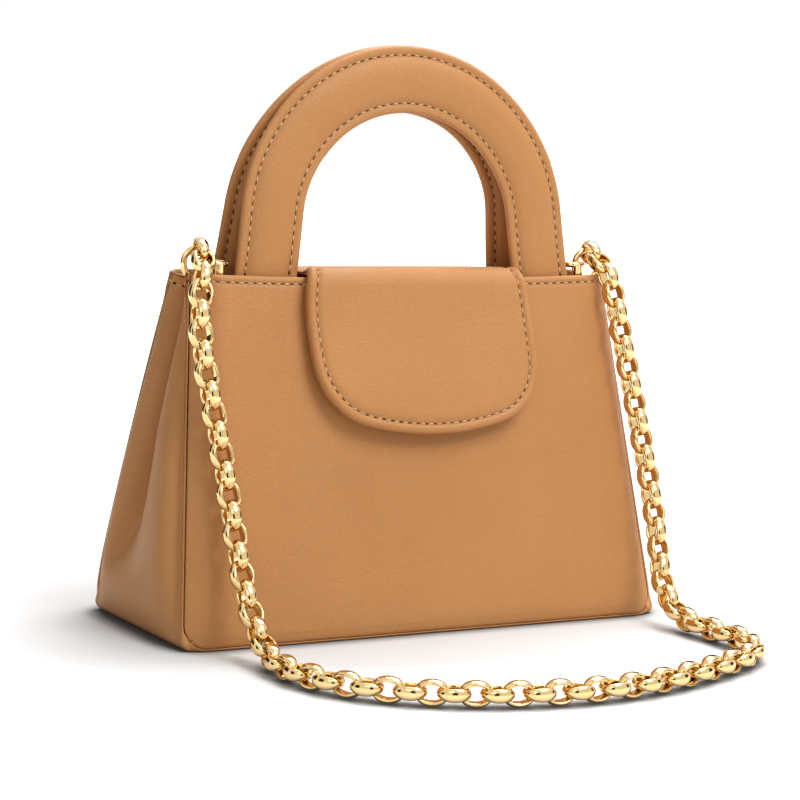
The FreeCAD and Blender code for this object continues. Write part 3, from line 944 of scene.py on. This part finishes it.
def bend_flap(front, back):
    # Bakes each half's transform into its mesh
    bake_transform(front)
    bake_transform(back)


# Handles: padded bands, sewn inside the walls below their bending line

handle_tilt = asin((HINGE_Y - HANDLE_TOP_Y) / (ARCH_RISE + ARCH_RADIUS))
leg_length = (ARCH_RISE + ARCH_RADIUS * sin(LEAN)) / cos(LEAN)
# Band's section in millimetres: across from the middle, and half its thickness there
BAND_FACE = (
    (14.7, 0), (14.58, 0.66), (14.2, 1.24), (13.5, 1.62), (12.6, 1.72), (11.8, 1.6), (11.1, 1.28),
    (10.5, 0.98), (10, 1.2), (9.2, 1.86), (8, 2.46), (6.2, 2.96), (4, 3.28), (2, 3.42), (0, 3.46),
)


def handle_point(x, height):
    slope = handle_tilt if height > 0 else wall_slope
    return Vector((x, -HINGE_Y + height * sin(slope), HINGE_Z + height * cos(slope)))


def handle_facing(height):
    slope = lerp(wall_slope, handle_tilt, smooth(height, -0.004, 0.004))
    return Vector((0, -cos(slope), sin(slope)))


def handle_path():
    # Middle line of the band from tab to tab, and its outward directions
    foot = Vector((-ARCH_RADIUS * cos(LEAN) - leg_length * sin(LEAN), 0))
    up = Vector((sin(LEAN), cos(LEAN)))
    out = Vector((-cos(LEAN), sin(LEAN)))
    total = TAB_DEPTH + leg_length
    steps = round(total / LEG_STEP)
    path = [(foot + up * (total * k / steps - TAB_DEPTH), out) for k in range(steps)]
    sweep = pi - 2 * LEAN
    arch_steps = round(ARCH_RADIUS * sweep / ARCH_STEP)
    for k in range(arch_steps + 1):
        angle = pi - LEAN - sweep * k / arch_steps
        out_here = Vector((cos(angle), sin(angle)))
        path.append((Vector((0, ARCH_RISE)) + out_here * ARCH_RADIUS, out_here))
    path += [(flipped(p, -1), flipped(o, -1)) for p, o in reversed(path[:steps])]
    return [(Vector((straightened(p), p.y)), o) for p, o in path]


def straightened(p):
    # The legs turn upright towards the rim
    inward = LEG_INWARD * (1 - smooth(p.y, -0.004, 0.046))
    return p.x - copysign(inward, p.x)


def band_loop():
    half = [(u * MM, v * MM) for u, v in BAND_FACE]
    face = half + [(-u, v) for u, v in reversed(half[:-1])]
    return face + [(u, -v) for u, v in reversed(face[1:-1])]


def make_handle(name, mirror):
    loop = band_loop()
    path = handle_path()
    points, shades = [], []
    for i, (middle, out) in enumerate(path):
        from_end = min(i, len(path) - 1 - i) * LEG_STEP
        trim = 1 - TAB_TRIM * smooth(-middle.y, 0.004, 0.012)
        trim *= sqrt(clamp(1 - (1 - clamp(from_end / TAB_ROUND)) ** 2, 0.12, 1))
        for u, v in loop:
            flat = middle + out * (u * trim)
            thick = v * lerp(TAB_THICK, 1, smooth(flat.y, -0.01, 0.004))
            points.append(flipped(handle_point(flat.x, flat.y) + handle_facing(flat.y) * thick, y=mirror))
            shades.append(GROOVE_SHADE * bell(abs(u), HANDLE_STITCH, GROOVE_HALF))
    count = len(loop)
    faces = grid_faces(len(path), count, True)
    faces += [tuple(range(count)), tuple(range(len(points) - count, len(points)))]
    return mesh_object(name, points, faces, LEATHER_MAT, shades)


def handle_line(u, side, mirror):
    # Stitches along one edge of a handle's face: (point, normal) pairs
    line = []
    for middle, out in handle_path():
        flat = middle + out * u
        if flat.y >= -3 * MM:
            facing = handle_facing(flat.y) * side
            place = handle_point(flat.x, flat.y) + facing * MM
            line.append((flipped(place, y=mirror), flipped(facing, y=mirror)))
    return line


# Stitches: bent lengths of thread between small dark domes of painted shade, in the place of holes

def along_line(line, pitch):
    # Even places on a line of (point, normal), two to each pitch, with its direction
    lengths = run_lengths([p for p, _ in line])
    count = max(1, round(lengths[-1] / pitch))
    places = []
    for k, t in even_places(lengths, 2 * count):
        (a, na), (b, nb) = line[k], line[k + 1]
        places.append((a.lerp(b, t), na.lerp(nb, t).normalized(), (b - a).normalized()))
    return places


# Rings of a stitch's thread and of a hole: place along it, height, size
THREAD_RINGS = (
    (-1, -0.5, 0.6), (-0.82, 0.25, 0.9), (-0.4, 0.62, 1), (0.4, 0.62, 1), (0.82, 0.25, 0.9),
    (1, -0.5, 0.6),
)
THREAD_SIDES = 7
HOLE_RINGS = ((0, -0.3, 1), (0, 0.12, 0.95), (0, 0.22, 0.6), (0, 0.25, 0.02))
HOLE_SIDES = 8


def rings_at(table, place, shift, rise, first, second):
    # Rings are given by their centre and two half axes
    return [(place + shift * t + rise * height, first * size, second * size) for t, height, size in table]


def thread_rings(place, normal, along):
    across = normal.cross(along).normalized()
    slant = along + across * rng.uniform(-0.05, 0.05)
    half = 0.5 * STITCH_LENGTH * rng.uniform(0.95, 1.04)
    rise = normal * THREAD
    return rings_at(THREAD_RINGS, place, slant * half, rise, across * THREAD, rise)


def hole_rings(place, normal, along):
    across = normal.cross(along).normalized() * HOLE_WIDTH
    return rings_at(HOLE_RINGS, place, along, normal * HOLE_WIDTH, across, along * HOLE_LENGTH)


def skinned(name, pieces, sides, material):
    points, faces = [], []
    for rings in pieces:
        faces += grid_faces(len(rings), sides, True, start=len(points))
        for centre, first, second in rings:
            for k in range(sides):
                angle = tau * k / sides
                points.append(centre + first * cos(angle) + second * sin(angle))
    return mesh_object(name, points, faces, material)


def make_stitches(name, lines):
    # Holes at the even places of each line, threads at the odd ones
    places = [along_line(line, STITCH_PITCH) for line in lines]
    threads = [thread_rings(*place) for line in places for place in line[1::2]]
    holes = [hole_rings(*place) for line in places for place in line[::2]]
    thread = skinned(name, threads, THREAD_SIDES, THREAD_MAT)
    return thread, skinned(name + "_hole_shade", holes, HOLE_SIDES, HOLE_SHADE_MAT)


def sheet_line(flats, place, height_at):
    line = []
    for p in flats:
        normal = surface_normal(place, p.x, p.y)
        line.append((place(p.x, p.y) + normal * (height_at(p) * MM), normal))
    return line


def rim_line(place):
    z = rim_z - RIM_STITCH
    reach = half_x(z) - RIM_STITCH_END
    flats = [Vector((reach * share, z)) for share in spread(120)]
    return sheet_line(flats, place, lambda p: RIM_STITCH_HEIGHT)


def flap_line():
    outline = flap_outline()
    normals = inward_normals(outline, EDGE_BLUR)
    flats = [p + n * FLAP_STITCH for p, n in zip(outline, normals)]
    return sheet_line(flats + flats[:1], flap_place, lambda p: FLAP_STITCH_HEIGHT * flap_thickness(p.y)[0])


def split_line(line):
    # The parts of a closed line before and behind the middle of the bridge
    free = 1.2 * MM
    front = [item for item in line if item[0].y < -free]
    rear = [item for item in line if item[0].y > free]
    leaps = [(b[0] - a[0]).length for a, b in zip(front, front[1:])]
    cut = leaps.index(max(leaps)) + 1 if max(leaps) > 4 * MM else 0
    return front[cut:] + front[:cut], rear


def gusset_lines():
    # Below the left gusset's edge, then mirrored on the right
    row, below = ([p for p, _ in line[8:-8]] for line in strip_rows()[:2])
    downs = [(q - p).normalized() for p, q in zip(row, below)]
    line = [p + down * RIM_STITCH for p, down in zip(row, downs)]
    left = []
    for k, p in enumerate(line):
        normal = run_at(line, k).cross(downs[k]).normalized()
        if normal.x > 0:
            normal = -normal
        left.append((p + normal * (0.02 * MM), normal))
    return [left, [(flipped(p, -1), flipped(n, -1)) for p, n in left]]


# Chain: a smooth link in the place of every link in the frame

def welded_parts(mesh):
    # Groups of joined vertex positions, with doubled vertices taken as one
    bm = bmesh.new()
    bm.from_mesh(mesh)
    bmesh.ops.remove_doubles(bm, verts=bm.verts, dist=1e-6)
    seen, groups = set(), []
    for start in bm.verts:
        if start in seen:
            continue
        seen.add(start)
        reached = [start]
        for vert in reached:
            near = [edge.other_vert(vert) for edge in vert.link_edges]
            near = [other for other in near if other not in seen]
            seen.update(near)
            reached += near
        groups.append([vert.co.copy() for vert in reached])
    bm.free()
    return groups


def strongest_axis(matrix, start):
    axis = Vector(start)
    for _ in range(60):
        axis = (matrix @ axis).normalized()
    return axis


def link_axes(spots):
    # Centre, length direction and band direction of one link
    centre = sum(spots, Vector()) / len(spots)
    scatter = Matrix(((0,) * 3,) * 3)
    for p in spots:
        d = (p - centre) / MM
        scatter = scatter + Matrix([d * part for part in d])
    along = strongest_axis(scatter, (0.31, 0.52, 0.79))
    return centre, along, strongest_axis(scatter.inverted(), (0.61, -0.33, 0.72))


def squared_off(value):
    return copysign(abs(value) ** (2 / LINK_POWER), value)


def link_loop():
    # Middle line of a link and its outward directions
    loop = []
    for k in range(LINK_STEPS):
        angle = tau * k / LINK_STEPS
        loop.append((LINK_HALF_LENGTH * squared_off(cos(angle)), LINK_HALF_WIDTH * squared_off(sin(angle))))
    loop = resample(loop, LINK_STEP, True)
    return loop, [-n for n in inward_normals(loop)]


def make_links(name, node):
    loop, outs = link_loop()
    points, faces = [], []
    for spots in welded_parts(nodes[node].data):
        centre, along, band = link_axes(spots)
        across = band.cross(along).normalized()
        faces += grid_faces(len(loop), len(LINK_SECTION), True, True, len(points))
        for p, out in zip(loop, outs):
            wide = 0.42 + 0.64 * sqrt(1 - 0.94 * min(abs(p.x) / LINK_HALF_LENGTH, 1) ** 2)
            for r, w in LINK_SECTION:
                flat = p + out * (r * MM)
                points.append(centre + along * flat.x + across * flat.y + band * (w * wide * MM))
    obj = mesh_object(name, points, faces, GOLD_MAT)
    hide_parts(node)
    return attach(obj, "chain")


# Stage: camera, floor, lamps and background

CAMERA_AT = Vector((-0.56119, -0.9525, 0.23508))
CAMERA_YAW = radians(30.76)
CAMERA_PITCH = radians(7.162)
CAMERA_ROLL = radians(2.56)
CAMERA_LENS = 112.225


def make_camera():
    data = bpy.data.cameras.new("photo camera")
    data.lens = CAMERA_LENS
    data.sensor_width = 36
    data.clip_start = 0.01
    obj = in_scene("photo camera", data)
    heading = Matrix.Rotation(-CAMERA_YAW, 4, "Z") @ Matrix.Rotation(pi / 2 - CAMERA_PITCH, 4, "X")
    obj.matrix_world = Matrix.Translation(CAMERA_AT) @ heading @ Matrix.Rotation(CAMERA_ROLL, 4, "Z")
    bpy.context.scene.camera = obj
    return obj


def make_plate(name, middle, across, up, steps, material):
    points = [middle + across * i + up * j for i in spread(steps) for j in spread(steps)]
    return mesh_object(name, points, grid_faces(steps + 1, steps + 1), material)


FLOOR_HALF = 6
FLOOR_Z = -0.0002


def make_floor():
    across, up = Vector((FLOOR_HALF, 0, 0)), Vector((0, FLOOR_HALF, 0))
    return make_plate("studio_floor", Vector((0, 0, FLOOR_Z)), across, up, 24, floor_material())


# Lamps: place, aim, size, power
LAMPS = (
    ("key", (0.25, -0.72, 1), (0, 0, 0.16), 0.6, 8),
    ("fill", (-1.2, -1.4, 1.3), (0, 0, 0.1), 0.9, 3.4),
    ("top", (0.6, 0.35, 1.5), (0, 0, 0), 1.1, 25),
)


def make_lamp(name, place, aim, size, power):
    data = bpy.data.lights.new(name, "AREA")
    data.shape = "SQUARE"
    data.size = size
    data.energy = power
    obj = in_scene(name, data)
    way = Vector(aim) - Vector(place)
    obj.matrix_world = Matrix.Translation(place) @ way.to_track_quat("-Z", "Y").to_matrix().to_4x4()
    return obj


# Dark cards that show only in reflections: place, width, height
CARDS = (
    ("card_front", (-0.75, -1.9, 0.4), 0.8, 1.1),
    ("card_left", (-1.9, 0.1, 0.45), 0.9, 1.1),
    ("card_right", (1.7, -0.6, 0.35), 0.7, 1),
    ("card_rear_left", (-1.1, 1.7, 0.6), 1.5, 1.5),
    ("card_rear_right", (1.3, 1.4, 0.6), 0.8, 1.2),
)


def make_card(name, place, width, height):
    at = Vector(place)
    across = Vector((-at.y, at.x, 0)).normalized() * (width / 2)
    obj = make_plate(name, at, across, Vector((0, 0, height / 2)), 6, CARD_MAT)
    for rays in ("camera", "diffuse", "shadow", "transmission", "volume_scatter"):
        setattr(obj, "visible_" + rays, False)
    return obj


AMBIENT = 0.25


def make_world():
    world = bpy.data.worlds.new("studio")
    bpy.context.scene.world = world
    s = Shader(world)
    strength = s.ranged(s.background_rays(), AMBIENT, 1, 0, 1)
    s.fill_named(s.tree.nodes["Background"], {"Color": WHITE, "Strength": strength})


# Build

def build_body():
    front = make_panel("front_leather", front_place)
    back = make_panel("back_leather", back_place)
    strip = make_strip()
    lining = make_lining()
    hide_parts("front_panel")
    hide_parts("back_panel")
    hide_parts("base_panel", "left_gusset", "right_gusset")
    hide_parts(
        "front_lining", "back_lining", "left_gusset_lining", "right_gusset_lining", "base_lining",
    )
    board = make_board()
    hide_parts("base_board")
    rim_lines = [rim_line(front_place), rim_line(back_place)] + gusset_lines()
    thread, holes = make_stitches("rim_stitches", rim_lines)
    for obj in (front, back, strip, lining, board, thread, holes):
        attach(obj, "bag_body")


def build_flap():
    front = half_flap("flap_leather", True)
    rear = half_flap("flap_tail", False)
    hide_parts("flap_outer", "flap_lining", "bridge_outer", "bridge_lining")
    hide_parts("flap_anchor")
    bend_flap(front, rear)
    front_line, rear_line = split_line(flap_line())
    front_parts = make_stitches("flap_stitches", [front_line])
    rear_parts = make_stitches("tail_stitches", [rear_line])
    for a, b in zip(front_parts, rear_parts):
        bend_flap(a, b)


def build_handle(name, mirror):
    band = make_handle(name + "_leather", mirror)
    edges = (-HANDLE_STITCH, HANDLE_STITCH)
    lines = [handle_line(u, side, mirror) for u in edges for side in (-1, 1)]
    parts = make_stitches(name + "_stitches", lines)
    for obj in (band, *parts):
        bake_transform(obj)
    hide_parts(name + "_face", name + "_core", name + "_backing", name + "_tabs")


GOLD_NODES = (
    "left_stud", "right_stud", "left_ring", "right_ring", "stud_rivets", "front_magnet", "flap_magnet",
)


def build_metal():
    for side in ("left_strand", "floor_run", "right_strand"):
        make_links("chain_" + side + "_links", "chain_" + side)
    for name in GOLD_NODES:
        materials = nodes[name].data.materials
        materials.clear()
        materials.append(GOLD_MAT)


build_body()
build_flap()
build_handle("front_handle", 1)
build_handle("back_handle", -1)
build_metal()
camera = make_camera()
floor = make_floor()
lamps = [make_lamp(*lamp) for lamp in LAMPS]
cards = [make_card(*card) for card in CARDS]
make_world()
bpy.context.scene.view_settings.view_transform = "Standard"
